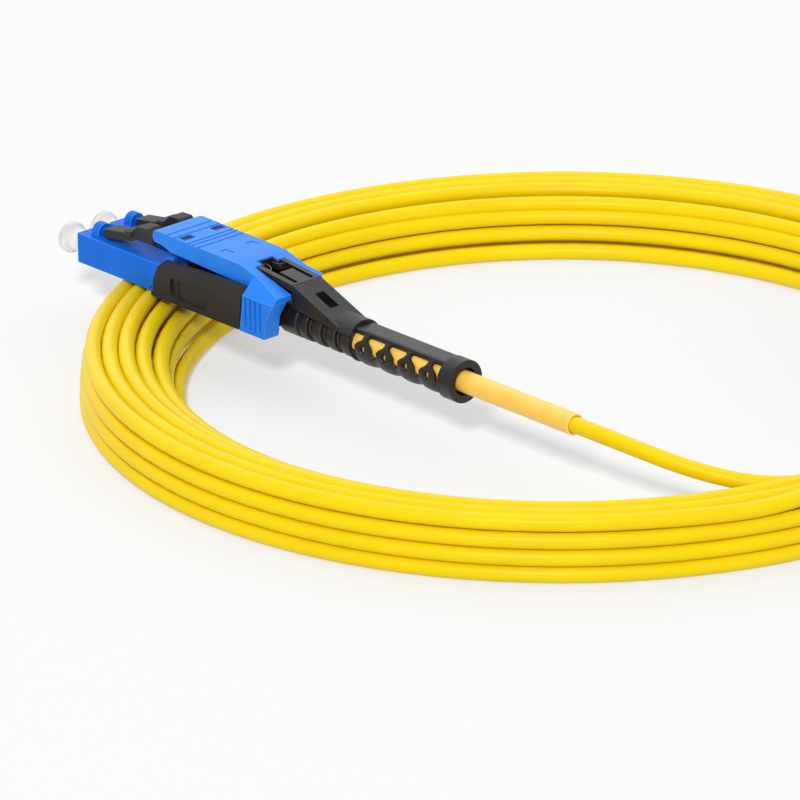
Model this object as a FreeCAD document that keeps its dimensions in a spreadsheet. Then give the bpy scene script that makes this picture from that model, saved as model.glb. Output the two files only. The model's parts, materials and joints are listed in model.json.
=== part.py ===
"""Duplex fibre patch cord: a coil of round cable with a push-pull plug at each end.

The origin is the centre of the coil, on the surface that it lies on, with +Z up. Each plug is drawn in
a frame of its own: x runs from the noses' front face to the boot, y across the two noses, and z up from
the plug's underside.
"""
import FreeCAD, Part
import math
import os

import Sketcher

# Driving dimensions, in millimetres and degrees.
SIZES = {
    # Cable and coil
    "cable_diameter": 2.4,
    "coil_outer_radius": 69.8,
    "coil_inner_radius": 54.5,
    "coil_height": 9.6,
    "coil_edge": 1.2,
    "coil_lean": 3.0,
    # Where the two plugs lie
    "plug_a_x": -70.3,
    "plug_a_y": -26.4,
    "plug_b_x": -12.2,
    "plug_b_y": 81.2,
    "plug_b_turn": -45.0,
    "rest_gap": 0.2,
    # Gaps between neighbours
    "fit_gap": 0.1,
    "slide_gap": 0.3,
    # Plug noses
    "plug_pitch": 6.25,
    "nose_axis": 2.3,
    "nose_width": 4.5,
    "nose_height": 4.6,
    "nose_length": 21.0,
    "hump_start": 2.3,
    "hump_end": 3.8,
    "hump_height": 1.9,
    "hump_width": 2.8,
    "ear_start": 18.2,
    "ear_height": 1.6,
    "ear_lean": 1.7,
    "slit_length": 1.4,
    "slit_rise": 0.4,
    "slit_width": 0.3,
    "slit_depth": 0.2,
    "front_bore_radius": 1.25,
    "seat_depth": 2.5,
    "chamber_radius": 1.6,
    # Ferrule, flange, spring and fibre
    "ferrule_radius": 0.625,
    "ferrule_length": 6.4,
    "ferrule_reach": 1.9,
    "flange_radius": 1.45,
    "flange_length": 2.5,
    "flange_tail_radius": 0.75,
    "flange_tail_length": 2.0,
    "spring_radius": 1.1,
    "spring_wire_radius": 0.15,
    "spring_turns": 6.0,
    "fibre_radius": 0.45,
    # Dust caps
    "cap_radius": 2.35,
    "cap_length": 4.7,
    "cap_stem_length": 1.6,
    "cap_round": 0.9,
    # Latch arms
    "latch_start": 4.8,
    "latch_floor": 0.4,
    "latch_width": 2.6,
    "latch_block_end": 15.9,
    "latch_block_top": 8.85,
    "latch_tail_width": 1.0,
    "latch_tail_end": 22.6,
    "latch_tail_top": 8.1,
    "latch_tail_thickness": 0.6,
    "lug_start": 10.2,
    "lug_length": 1.3,
    "lug_reach": 0.5,
    "lug_height": 0.9,
    # Casing cover
    "cover_start": 17.8,
    "cover_end": 37.0,
    "cover_end_slant": 0.9,
    "cover_width": 13.0,
    "cover_wall": 0.8,
    "cover_floor": 0.5,
    "cover_crease": 4.7,
    "cover_top": 6.8,
    "cover_band_run": 1.1,
    "cover_front_slant": 3.7,
    "cover_front_bend": 2.65,
    "slot_start": 22.0,
    "slot_width": 1.3,
    "slot_low": 0.9,
    "slot_high": 3.9,
    "slot_depth": 0.4,
    "slot_corner": 0.45,
    "frame_length": 6.6,
    "frame_depth": 0.12,
    # Trigger and its grip collar
    "trigger_start": 16.0,
    "trigger_lip": 2.0,
    "trigger_low": 7.4,
    "trigger_top": 9.3,
    "trigger_bend": 35.2,
    "trigger_bend_top": 9.1,
    "trigger_end": 44.7,
    "trigger_end_top": 6.6,
    "trigger_skirt_low": 6.1,
    "trigger_width": 9.0,
    "trigger_skirt": 0.65,
    "trigger_roof": 0.8,
    "trigger_round": 0.85,
    "collar_width": 13.2,
    "collar_side_top": 5.7,
    "collar_wall": 0.8,
    "collar_rear_slant": 2.0,
    "collar_cutback": 3.9,
    "collar_groove_width": 0.4,
    "collar_groove_depth": 0.25,
    "collar_groove_spacing": 1.05,
    "cross_groove_width": 0.3,
    "cross_groove_depth": 0.22,
    "window_middle": 22.05,
    "window_length": 1.45,
    "window_width": 2.2,
    "window_offset": 3.0,
    "notch_start": 36.8,
    "notch_width": 5.9,
    "notch_step": 1.1,
    "notch_step_width": 3.0,
    "mark_middle": 30.3,
    "mark_length": 1.9,
    "mark_width": 1.4,
    "mark_offset": 2.5,
    "mark_depth": 0.1,
    "pull_travel": 2.2,
    # Rear housing and crimp
    "spigot_start": 12.0,
    "spigot_radius": 1.5,
    "housing_end": 41.4,
    "housing_height": 4.4,
    "housing_wall": 1.0,
    "boot_axis": 2.0,
    "tail_end": 46.5,
    "tail_radius": 1.7,
    "crimp_start": 42.3,
    "crimp_end": 46.2,
    "crimp_wall": 0.3,
    # Ribbed strain relief
    "relief_start": 41.6,
    "relief_end": 56.5,
    "relief_radius": 2.35,
    "relief_barrel_end": 45.2,
    "relief_groove_radius": 1.95,
    "rib_radius": 2.7,
    "rib_width": 1.6,
    "rib_first": 46.65,
    "rib_spacing": 3.0,
    # Amber sleeve
    "sleeve_start": 47.0,
    "sleeve_end": 100.7,
    "sleeve_wall": 0.35,
    "sleeve_swell_radius": 2.25,
    "lead_straight": 9.0,
    # Push-pull boot
    "boot_tube_start": 56.9,
    "boot_tube_radius": 2.9,
    "boot_wall": 0.5,
    "ring_start": 75.7,
    "ring_end": 78.3,
    "ring_radius": 3.2,
    "ring_bore_radius": 2.1,
    "wedge_run": 11.0,
    "wedge_end_top": 3.8,
    "wedge_end_low": 3.4,
    "wedge_top": 8.0,
    "wedge_low": 4.4,
    "wedge_slot_inset": 2.75,
    "wedge_slot_length": 3.4,
    "wedge_slot_width": 1.7,
    "prong_length": 7.55,
    "prong_top": 8.7,
    "prong_thickness": 1.0,
    "prong_width": 0.9,
    "fork_width": 5.5,
    "fork_depth": 7.2,
    "fork_gap_depth": 3.2,
    "tongue_width": 2.4,
    "hood_length": 5.9,
    "hood_wall": 0.4,
    "hood_taper": 1.4,
    "lattice_first": 57.3,
    "lattice_spacing": 4.5,
    "lattice_top": 2.2,
    "lattice_low": -0.55,
    "lattice_top_width": 3.2,
    "lattice_low_width": 0.4,
    "eye_radius": 0.38,
    "lattice_shoulder": 0.8,
    "lattice_neck": 0.6,
    "eye_rise": 0.1,
    "waist_depth": 0.3,
    "waist_width": 1.5,
}
RIB_COUNT = 4
LATTICE_COUNT = 5
GRIP_COUNT = 4
# The cross grooves on the trigger, as distances behind its front edge.
CROSS_GROOVES = (3.2, 4.8, 7.85, 8.8, 10.1)

# Free stretches of the cable after a straight run out of the sleeve, as points chosen by eye: plug a's
# lead drops into the coil's inner top corner, and plug b's lead settles into its outer top corner.
LEAD_POINTS = {
    "a": ((49.6, -21.9, 9.2), (57.6, -15.7, 7.5), (61.0, -5.7, 7.3)),
    "b": ((67.7, -4.0, 10.4), (65.9, -15.2, 8.5)),
}
ARC_SHARE = 0.45
VOLUME_TOLERANCE = 0.01

doc = FreeCAD.newDocument("patch_cord")
sheet = doc.addObject("Spreadsheet::Sheet", "dims")


class Size:
    """A number together with the sheet expression that gives it."""

    def __init__(self, text, value):
        self.text = text
        self.value = value

    def __add__(self, other):
        other = as_size(other)
        return Size(f"({self.text} + {other.text})", self.value + other.value)

    def __sub__(self, other):
        other = as_size(other)
        return Size(f"({self.text} - {other.text})", self.value - other.value)

    def __mul__(self, other):
        other = as_size(other)
        return Size(f"({self.text} * {other.text})", self.value * other.value)

    def __truediv__(self, other):
        other = as_size(other)
        return Size(f"({self.text} / {other.text})", self.value / other.value)

    def __neg__(self):
        return Size(f"(0 - {self.text})", -self.value)


def as_size(number):
    """A plain number as a Size."""
    if isinstance(number, Size):
        return number
    return Size(str(float(number)), float(number))


class Dimensions:
    """Every driving dimension of the sheet, by name."""


dim = Dimensions()
for row, (name, number) in enumerate(SIZES.items(), 1):
    sheet.set(f"A{row}", name)
    sheet.set(f"B{row}", str(number))
    sheet.setAlias(f"B{row}", name)
doc.recompute()
for name in SIZES:
    setattr(dim, name, Size(f"dims.{name}", float(sheet.get(name))))

pieces = []


class Piece:
    """One PartDesign body, built from blocks, rods and prisms whose sizes are sheet expressions."""

    def __init__(self, label, place):
        self.body = doc.addObject("PartDesign::Body", label)
        self.body.Label = label
        self.body.Placement = place
        self.count = 0
        pieces.append(self.body)

    def feature(self, kind, role, offset):
        """A new feature on one of the body's origin planes, moved by an offset in that plane's axes."""
        self.count += 1
        item = self.body.newObject(kind, f"{self.body.Name}_{self.count}")
        plane = next(f for f in self.body.Origin.OriginFeatures if f.Role == role)
        item.AttachmentSupport = [(plane, "")]
        item.MapMode = "FlatFace"
        for letter, value in zip("xyz", offset):
            item.setExpression(f"AttachmentOffset.Base.{letter}", as_size(value).text)
        return item

    def block(self, x, y, z, cut=False):
        """A box between two values on each axis."""
        kind = "PartDesign::SubtractiveBox" if cut else "PartDesign::AdditiveBox"
        low = [as_size(span[0]) for span in (x, y, z)]
        high = [as_size(span[1]) for span in (x, y, z)]
        box = self.feature(kind, "XY_Plane", low)
        for side, start, end in zip(("Length", "Width", "Height"), low, high):
            box.setExpression(side, (end - start).text)

    def rod(self, x, radius, y=0, z=0, cut=False):
        """A cylinder along x."""
        kind = "PartDesign::SubtractiveCylinder" if cut else "PartDesign::AdditiveCylinder"
        rod = self.feature(kind, "YZ_Plane", (y, z, x[0]))
        rod.setExpression("Radius", as_size(radius).text)
        rod.setExpression("Height", (as_size(x[1]) - x[0]).text)

    def cone(self, x, first_radius, last_radius, z):
        """A cone along x, with a radius at each end."""
        cone = self.feature("PartDesign::AdditiveCone", "YZ_Plane", (0, z, x[0]))
        cone.setExpression("Radius1", as_size(first_radius).text)
        cone.setExpression("Radius2", as_size(last_radius).text)
        cone.setExpression("Height", (as_size(x[1]) - x[0]).text)

    def outline(self, role, loops, offset):
        """Closed loops of straight lines with both coordinates of every corner bound to the sheet."""
        sketch = self.feature("Sketcher::SketchObject", role, (0, 0, offset))
        first = 0
        for points in loops:
            corners = [(as_size(a), as_size(b)) for a, b in points]
            total = len(corners)
            for i, (a, b) in enumerate(corners):
                c, d = corners[(i + 1) % total]
                start = FreeCAD.Vector(a.value, b.value, 0)
                end = FreeCAD.Vector(c.value, d.value, 0)
                sketch.addGeometry(Part.LineSegment(start, end))
            for i in range(total):
                after = first + (i + 1) % total
                sketch.addConstraint(Sketcher.Constraint("Coincident", first + i, 2, after, 1))
            for i, corner in enumerate(corners):
                self.pin(sketch, first + i, 1, corner)
            first += total
        return sketch

    def pin(self, sketch, line, end, point):
        """Bind both coordinates of one sketch point to the sheet."""
        for kind, value in zip(("DistanceX", "DistanceY"), point):
            rule = Sketcher.Constraint(kind, -1, 1, line, end, value.value)
            index = sketch.addConstraint(rule)
            sketch.setExpression(f"Constraints[{index}]", value.text)

    def push(self, kind, sketch, length):
        """A pad or pocket of a sketch, half its length to each side."""
        self.count += 1
        solid = self.body.newObject(kind, f"{self.body.Name}_{self.count}")
        solid.Profile = sketch
        solid.SideType = "Symmetric"
        solid.setExpression("Length", as_size(length).text)

    def prism(self, role, loops, low, high, cut=False):
        """Loops on one plane, padded or pocketed from low to high along that plane's normal.

        The loops' axes are x and z on XZ_Plane, y and z on YZ_Plane, and x and y on XY_Plane.
        """
        middle = (as_size(low) + high) / 2
        sketch = self.outline(role, loops, -middle if role == "XZ_Plane" else middle)
        kind = "PartDesign::Pocket" if cut else "PartDesign::Pad"
        self.push(kind, sketch, as_size(high) - low)

    def cross_holes(self, centres, radius, width):
        """Round holes along y, through a given width."""
        sketch = self.feature("Sketcher::SketchObject", "XZ_Plane", (0, 0, 0))
        radius = as_size(radius)
        for line, (x, z) in enumerate(centres):
            centre = FreeCAD.Vector(x.value, z.value, 0)
            sketch.addGeometry(Part.Circle(centre, FreeCAD.Vector(0, 0, 1), radius.value))
            self.pin(sketch, line, 3, (x, z))
            index = sketch.addConstraint(Sketcher.Constraint("Radius", line, radius.value))
            sketch.setExpression(f"Constraints[{index}]", radius.text)
        self.push("PartDesign::Pocket", sketch, width)

    def turn(self, points):
        """A loop on XZ_Plane, turned about the z axis."""
        sketch = self.outline("XZ_Plane", [points], 0)
        self.count += 1
        solid = self.body.newObject("PartDesign::Revolution", f"{self.body.Name}_{self.count}")
        solid.Profile = sketch
        solid.ReferenceAxis = (sketch, ["V_Axis"])


def both(half):
    """A span that is symmetric about the middle."""
    half = as_size(half)
    return (-half, half)


def rectangle(first, second):
    """The loop of a rectangle between two values on each of its plane's axes."""
    return [
        (first[0], second[0]),
        (first[1], second[0]),
        (first[1], second[1]),
        (first[0], second[1]),
    ]


def mirrored(loop):
    """A loop on YZ_Plane or XY_Plane's second axis, reflected to the other side of y = 0."""
    return [(-as_size(y), z) for y, z in reversed(loop)]


def band_inside():
    """The inner line of the cover's bent edge, as its lower and upper ends on YZ_Plane."""
    half = dim.cover_width / 2
    low = (half - dim.cover_wall, dim.cover_crease - dim.cover_wall / 4)
    high = (dim.trigger_width / 2 + dim.slide_gap, dim.cover_top - dim.cover_wall / 2)
    return low, high


def nose(label, place):
    """A plug housing: a square tube with a hump in front and two ears behind, either side of the latch."""
    part = Piece(label, place)
    half = dim.nose_width / 2
    rear_low = dim.cover_floor + dim.fit_gap
    part.block((0, dim.cover_start - dim.slide_gap), both(half), (0, dim.nose_height))
    part.block((0, dim.nose_length), both(half), (rear_low, dim.nose_height))
    hump_radius = dim.hump_width / 2
    crown = dim.nose_height + dim.hump_height - hump_radius
    part.block((dim.hump_start, dim.hump_end), both(hump_radius), (dim.nose_height - dim.fit_gap, crown))
    part.rod((dim.hump_start, dim.hump_end), hump_radius, z=crown)
    ear_top = dim.nose_height + dim.ear_height
    ear_in = dim.latch_tail_width / 2 + dim.slide_gap
    band_low, band_high = band_inside()
    ear_out = band_low[0] - dim.fit_gap - dim.plug_pitch / 2
    bend = band_low[1] - dim.fit_gap
    lean = (ear_top - bend) * (band_low[0] - band_high[0]) / (band_high[1] - band_low[1])
    ear = [
        (ear_in, rear_low),
        (ear_out, rear_low),
        (ear_out, bend),
        (ear_out - lean, ear_top),
        (ear_in, ear_top),
    ]
    part.prism("YZ_Plane", [ear, mirrored(ear)], dim.ear_start, dim.nose_length)
    ear_front = [
        (dim.ear_start - dim.fit_gap, dim.nose_height),
        (dim.ear_start, dim.nose_height),
        (dim.ear_start + dim.ear_lean, ear_top + dim.fit_gap),
        (dim.ear_start - dim.fit_gap, ear_top + dim.fit_gap),
    ]
    part.prism("XZ_Plane", [ear_front], -dim.nose_width, dim.nose_width, cut=True)
    slit_end = dim.cover_start - dim.slide_gap
    slit_span = (slit_end - dim.slit_length, slit_end)
    slit = rectangle(slit_span, (dim.slit_rise, dim.slit_rise + dim.slit_width))
    part.prism("XZ_Plane", [slit], half - dim.slit_depth, half + dim.fit_gap, cut=True)
    part.prism("XZ_Plane", [slit], -half - dim.fit_gap, dim.slit_depth - half, cut=True)
    part.rod((0, dim.seat_depth), dim.front_bore_radius, z=dim.nose_axis, cut=True)
    part.rod((dim.seat_depth, dim.nose_length), dim.chamber_radius, z=dim.nose_axis, cut=True)


def ferrule(label, place):
    """The ceramic pin, from its tip in front of the nose to its end in the flange."""
    part = Piece(label, place)
    end = dim.ferrule_length - dim.ferrule_reach
    part.rod((-dim.ferrule_reach, end), dim.ferrule_radius, z=dim.nose_axis)


def flange_start():
    """Front face of the flange, just behind the nose's seat."""
    return dim.seat_depth + dim.fit_gap


def flange(label, place):
    """The ferrule's metal seat, with a hollow tail that the fibre enters."""
    part = Piece(label, place)
    start = flange_start()
    shoulder = start + dim.flange_length
    end = shoulder + dim.flange_tail_length
    part.rod((start, shoulder), dim.flange_radius, z=dim.nose_axis)
    part.rod((shoulder, end), dim.flange_tail_radius, z=dim.nose_axis)
    ferrule_end = dim.ferrule_length - dim.ferrule_reach
    part.rod((start, ferrule_end), dim.ferrule_radius, z=dim.nose_axis, cut=True)
    part.rod((ferrule_end, end), dim.fibre_radius + dim.fit_gap, z=dim.nose_axis, cut=True)


def spring(label, place):
    """A coil spring between the flange and the housing's spigot."""
    start = flange_start() + dim.flange_length + dim.spring_wire_radius + dim.fit_gap
    end = dim.spigot_start - dim.spring_wire_radius - dim.fit_gap
    helix = doc.addObject("Part::Helix", f"{label}_helix")
    helix.setExpression("Radius", dim.spring_radius.text)
    helix.setExpression("Height", (end - start).text)
    helix.setExpression("Pitch", ((end - start) / dim.spring_turns).text)
    wire = doc.addObject("Part::Circle", f"{label}_wire")
    wire.setExpression("Radius", dim.spring_wire_radius.text)
    wire.setExpression("Placement.Base.x", dim.spring_radius.text)
    wire.Placement.Rotation = FreeCAD.Rotation(FreeCAD.Vector(1, 0, 0), 90)
    sweep = doc.addObject("Part::Sweep", label)
    sweep.Label = label
    sweep.Sections = [wire]
    sweep.Spine = (helix, [])
    sweep.Solid = True
    sweep.Frenet = True
    lie_down = FreeCAD.Rotation(FreeCAD.Vector(0, 1, 0), 90)
    seat = FreeCAD.Vector(start.value, 0, dim.nose_axis.value)
    sweep.Placement = place.multiply(FreeCAD.Placement(seat, lie_down))
    pieces.append(sweep)


def cap(label, place):
    """A dust cap: a round-nosed cup with a stem in the nose's bore and a hole for the ferrule."""
    part = Piece(label, place)
    front = -(dim.cap_length + dim.fit_gap)
    shoulder = front + dim.cap_round
    part.rod((shoulder, -dim.fit_gap), dim.cap_radius, z=dim.nose_axis)
    part.rod((front, shoulder), dim.cap_radius - dim.cap_round / 2, z=dim.nose_axis)
    part.rod(
        (-dim.fit_gap, dim.cap_stem_length), dim.front_bore_radius - dim.fit_gap, z=dim.nose_axis
    )
    hole = -(dim.ferrule_reach + dim.slide_gap)
    part.rod((hole, dim.cap_stem_length), dim.ferrule_radius + dim.fit_gap, z=dim.nose_axis, cut=True)


def latch(label, place):
    """A latch arm: a faceted arm that rises to the rear, two side lugs and a narrow tail."""
    part = Piece(label, place)
    floor = dim.nose_height + dim.latch_floor
    start = dim.latch_start
    end = dim.latch_block_end
    run = end - start
    top = dim.latch_block_top
    tail_low = dim.trigger_low - dim.slide_gap - dim.latch_tail_thickness
    tail_high = dim.trigger_low - dim.slide_gap
    arm = [
        (start, floor),
        (start + dim.fit_gap, floor + (top - floor) * 0.33),
        (start + run * 0.44, floor + (top - floor) * 0.52),
        (start + run * 0.62, floor + (top - floor) * 0.76),
        (start + run * 0.7, top - dim.fit_gap),
        (start + run * 0.88, top),
        (end, top - (top - floor) * 0.22),
        (end, tail_low),
        (start + run * 0.72, tail_low + dim.latch_tail_thickness * 0.5),
        (start + run * 0.6, floor + (top - floor) * 0.28),
        (start + run * 0.1, floor),
    ]
    part.prism("XZ_Plane", [arm], -dim.latch_width / 2, dim.latch_width / 2)
    ramp = dim.trigger_start + dim.trigger_lip + dim.fit_gap
    ramp_end = ramp + (dim.latch_tail_end - ramp) * 0.45
    tail_top = dim.latch_tail_top
    tail = [
        (end - dim.fit_gap, tail_low),
        (ramp, tail_low),
        (ramp_end, tail_top - dim.latch_tail_thickness),
        (dim.latch_tail_end, tail_top - dim.latch_tail_thickness),
        (dim.latch_tail_end, tail_top),
        (ramp_end, tail_top),
        (ramp, tail_high),
        (end - dim.fit_gap, tail_high),
    ]
    part.prism("XZ_Plane", [tail], -dim.latch_tail_width / 2, dim.latch_tail_width / 2)
    lug_low = floor + (top - floor) * 0.46
    part.block(
        (dim.lug_start, dim.lug_start + dim.lug_length),
        both(dim.latch_width / 2 + dim.lug_reach),
        (lug_low, lug_low + dim.lug_height),
    )


def rear_housing(label, place):
    """The tray behind the noses, with a spigot into each nose and a hollow tail for the crimp."""
    part = Piece(label, place)
    start = dim.nose_length + dim.fit_gap
    half = dim.cover_width / 2 - dim.cover_wall - dim.fit_gap
    low = dim.cover_floor + dim.fit_gap
    part.block((start, dim.housing_end), both(half), (low, dim.housing_height))
    part.block(
        (start + dim.housing_wall, dim.housing_end - dim.housing_wall),
        both(half - dim.housing_wall),
        (low + dim.housing_wall / 2, dim.housing_height),
        cut=True,
    )
    part.rod((dim.housing_end - dim.fit_gap, dim.tail_end), dim.tail_radius, z=dim.boot_axis)
    bore = dim.cable_diameter / 2 + dim.fit_gap
    part.rod((dim.housing_end - dim.housing_wall, dim.tail_end), bore, z=dim.boot_axis, cut=True)
    for y in (dim.plug_pitch / 2, -dim.plug_pitch / 2):
        part.rod((dim.spigot_start, start + dim.fit_gap), dim.spigot_radius, y, dim.nose_axis)
        hole = dim.fibre_radius + dim.fit_gap
        part.rod((dim.spigot_start, start + dim.housing_wall), hole, y, dim.nose_axis, cut=True)


def cover(label, place):
    """The casing around the noses' rear ends and the tray: a U with its top edges bent inwards."""
    part = Piece(label, place)
    half = dim.cover_width / 2
    wall = dim.cover_wall
    band_low, band_high = band_inside()
    right = [
        (half, 0),
        (half, dim.cover_crease),
        (half - dim.cover_band_run, dim.cover_top),
        band_high,
        band_low,
        (half - wall, dim.cover_floor),
    ]
    end = dim.cover_end + dim.cover_end_slant
    part.prism("YZ_Plane", [right + mirrored(right)], dim.cover_start, end)
    reach = dim.cover_top + wall
    front = dim.cover_start
    slant = dim.cover_front_slant
    front_edge = [
        (front - wall, dim.cover_floor + dim.fit_gap),
        (front + slant * 0.04, dim.cover_floor + dim.fit_gap),
        (front + slant * 0.06, dim.cover_front_bend),
        (front + slant * 0.38, dim.cover_crease),
        (front + slant, reach),
        (front - wall, reach),
    ]
    rear_edge = [(dim.cover_end, -wall), (end + wall, -wall), (end + wall, reach), (end, reach)]
    part.prism("XZ_Plane", [front_edge, rear_edge], -half - wall, half + wall, cut=True)
    height = (dim.slot_low, dim.slot_high)
    slot_end = dim.slot_start + dim.slot_width
    frame_start = slot_end + dim.slide_gap
    corner = dim.slot_corner
    slot = [
        (dim.slot_start + corner, dim.slot_low),
        (slot_end - corner, dim.slot_low),
        (slot_end, dim.slot_low + corner),
        (slot_end, dim.slot_high - corner),
        (slot_end - corner, dim.slot_high),
        (dim.slot_start + corner, dim.slot_high),
        (dim.slot_start, dim.slot_high - corner),
        (dim.slot_start, dim.slot_low + corner),
    ]
    frame = rectangle((frame_start, frame_start + dim.frame_length), height)
    for loop, depth in ((slot, dim.slot_depth), (frame, dim.frame_depth)):
        part.prism("XZ_Plane", [loop], half - depth, half + wall, cut=True)
        part.prism("XZ_Plane", [loop], -half - wall, depth - half, cut=True)


def trigger(label, place):
    """The lever over the latch arms, one moulding with the grip collar at its rear.

    The collar's flank at +y is cut back at a slant, so only the other one reaches the boot's side.
    """
    part = Piece(label, place)
    half = dim.trigger_width / 2
    start = dim.trigger_start
    low = dim.trigger_low
    top = dim.trigger_top
    end = dim.trigger_end
    skirt_low = dim.trigger_skirt_low
    round_off = dim.trigger_round
    collar_half = dim.collar_width / 2
    collar_start = dim.cover_end + dim.slide_gap
    slant = dim.cover_end_slant
    shoulder = dim.collar_side_top
    wide = collar_half + dim.collar_wall
    high = top + dim.collar_wall
    under = -dim.collar_wall
    past = end + dim.fit_gap
    lever = [
        (start, low + round_off),
        (start + round_off * 0.1, top - round_off * 0.7),
        (start + round_off * 0.5, top - round_off * 0.15),
        (start + round_off * 1.3, top),
        (dim.trigger_bend, dim.trigger_bend_top),
        (end, dim.trigger_end_top),
        (end, shoulder),
        (collar_start + slant, skirt_low),
        (start + dim.trigger_lip * 2, low - dim.trigger_skirt),
        (start + dim.trigger_lip, low),
        (start + round_off * 0.4, low),
    ]
    part.prism("XZ_Plane", [lever], -half, half)
    ridge = (dim.trigger_bend_top + dim.trigger_end_top) / 2
    right = [(collar_half, 0), (collar_half, shoulder), (half, ridge)]
    part.prism("YZ_Plane", [right + mirrored(right)], collar_start, end)
    roof_line = [
        (dim.trigger_bend, dim.trigger_bend_top),
        (past, dim.trigger_end_top),
        (past, high),
        (dim.trigger_bend, high),
    ]
    front_edge = [
        (collar_start - dim.fit_gap, under),
        (collar_start, under),
        (collar_start + slant, skirt_low),
        (collar_start - dim.fit_gap, skirt_low),
    ]
    rear_edge = [
        (end - dim.collar_rear_slant, under),
        (end + dim.collar_wall, under),
        (end + dim.collar_wall, shoulder),
        (end, shoulder),
        (end - dim.collar_rear_slant * 0.75, shoulder * 0.55),
    ]
    part.prism("XZ_Plane", [roof_line, front_edge, rear_edge], -wide, wide, cut=True)
    cutback = [
        (end - dim.collar_cutback, wide),
        (past, wide),
        (past, dim.notch_width / 2),
        (end, dim.notch_width / 2),
        (end - dim.collar_cutback, collar_half),
    ]
    part.prism("XY_Plane", [cutback], under, high, cut=True)
    notch_side = rectangle((half, wide), (skirt_low, high))
    part.prism(
        "YZ_Plane",
        [notch_side, mirrored(notch_side)],
        collar_start - dim.fit_gap,
        collar_start + slant,
        cut=True,
    )
    hollow_half = half - dim.trigger_skirt
    roof = dim.trigger_roof
    lip_end = start + dim.trigger_lip
    hollow = [
        (lip_end, dim.collar_wall),
        (lip_end, top - roof),
        (dim.trigger_bend, dim.trigger_bend_top - roof),
        (past, dim.trigger_end_top - roof),
        (past, dim.collar_wall),
    ]
    part.prism("XZ_Plane", [hollow], -hollow_half, hollow_half, cut=True)
    inside = dim.cover_width / 2 - dim.cover_wall + dim.fit_gap
    ceiling = dim.housing_height + dim.slide_gap
    rear_wall = dim.housing_end + dim.slide_gap
    room = (collar_start - dim.fit_gap, rear_wall)
    part.block(room, both(inside), (dim.cover_floor, ceiling), cut=True)
    throat = dim.rib_radius + dim.slide_gap
    throat_start = dim.housing_end - dim.pull_travel - dim.slide_gap * 2
    part.block((throat_start, past), both(throat), (under, ceiling), cut=True)
    part.block((dim.notch_start, past), both(dim.notch_width / 2), (dim.housing_height, high), cut=True)
    step = (dim.notch_start - dim.notch_step, past)
    part.block(step, both(dim.notch_step_width / 2), (dim.housing_height, high), cut=True)
    window = rectangle(
        (dim.window_middle - dim.window_length / 2, dim.window_middle + dim.window_length / 2),
        (dim.window_offset - dim.window_width / 2, dim.window_offset + dim.window_width / 2),
    )
    other_window = [(x, -y) for x, y in reversed(window)]
    part.prism("XY_Plane", [window, other_window], low, high, cut=True)
    mark = rectangle(
        (dim.mark_middle - dim.mark_length / 2, dim.mark_middle + dim.mark_length / 2),
        (dim.mark_offset - dim.mark_width / 2, dim.mark_offset + dim.mark_width / 2),
    )
    other_mark = [(x, -y) for x, y in reversed(mark)]
    mark_fall = (top - dim.trigger_bend_top) * (dim.mark_middle - start) / (dim.trigger_bend - start)
    mark_floor = top - mark_fall - dim.mark_depth
    part.prism("XY_Plane", [mark, other_mark], mark_floor, high, cut=True)
    cross_grooves = []
    for behind in CROSS_GROOVES:
        groove = start + behind
        drop = (top - dim.trigger_bend_top) * behind / (dim.trigger_bend - start)
        floor = top - drop - dim.cross_groove_depth
        cross_grooves.append(rectangle((groove, groove + dim.cross_groove_width), (floor, high)))
    part.prism("XZ_Plane", cross_grooves, -wide, wide, cut=True)
    grip_grooves = []
    for index in range(GRIP_COUNT):
        groove = collar_start + slant + dim.collar_groove_spacing * (index + 0.4)
        span = (groove, groove + dim.collar_groove_width)
        grip_grooves.append(rectangle(span, (dim.collar_wall, shoulder - dim.slide_gap)))
    face = collar_half - dim.collar_groove_depth
    part.prism("XZ_Plane", grip_grooves, face, wide, cut=True)
    part.prism("XZ_Plane", grip_grooves, -wide, -face, cut=True)


def crimp_sleeve(label, place):
    """A metal sleeve pressed over the housing's tail."""
    part = Piece(label, place)
    inner = dim.tail_radius
    part.rod((dim.crimp_start, dim.crimp_end), inner + dim.crimp_wall, z=dim.boot_axis)
    part.rod((dim.crimp_start, dim.crimp_end), inner, z=dim.boot_axis, cut=True)


def strain_relief(label, place):
    """A ribbed bush: a barrel over the crimp, then a slimmer core with a bore for the amber sleeve."""
    part = Piece(label, place)
    part.rod((dim.relief_start, dim.relief_barrel_end), dim.rib_radius, z=dim.boot_axis)
    part.rod((dim.relief_start, dim.rib_first), dim.relief_radius, z=dim.boot_axis)
    part.rod((dim.rib_first, dim.relief_end), dim.relief_groove_radius, z=dim.boot_axis)
    for index in range(RIB_COUNT):
        middle = dim.rib_first + dim.rib_spacing * index
        span = (middle - dim.rib_width / 2, middle + dim.rib_width / 2)
        part.rod(span, dim.rib_radius, z=dim.boot_axis)
    crimp_bore = dim.tail_radius + dim.crimp_wall + dim.fit_gap
    sleeve_bore = dim.cable_diameter / 2 + dim.fit_gap + dim.sleeve_wall
    part.rod((dim.relief_start, dim.tail_end + dim.fit_gap), crimp_bore, z=dim.boot_axis, cut=True)
    part.rod((dim.relief_start, dim.relief_end), sleeve_bore, z=dim.boot_axis, cut=True)


def sleeve(label, place):
    """The amber tube over the cable, from inside the strain relief to its cut end."""
    part = Piece(label, place)
    bore = dim.cable_diameter / 2 + dim.fit_gap / 2
    part.rod((dim.sleeve_start, dim.sleeve_end), bore + dim.sleeve_wall, z=dim.boot_axis)
    swell = (dim.relief_end + dim.slide_gap, dim.ring_start - dim.slide_gap * 3)
    part.rod(swell, dim.sleeve_swell_radius, z=dim.boot_axis)
    part.rod((dim.sleeve_start, dim.sleeve_end), bore, z=dim.boot_axis, cut=True)


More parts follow.
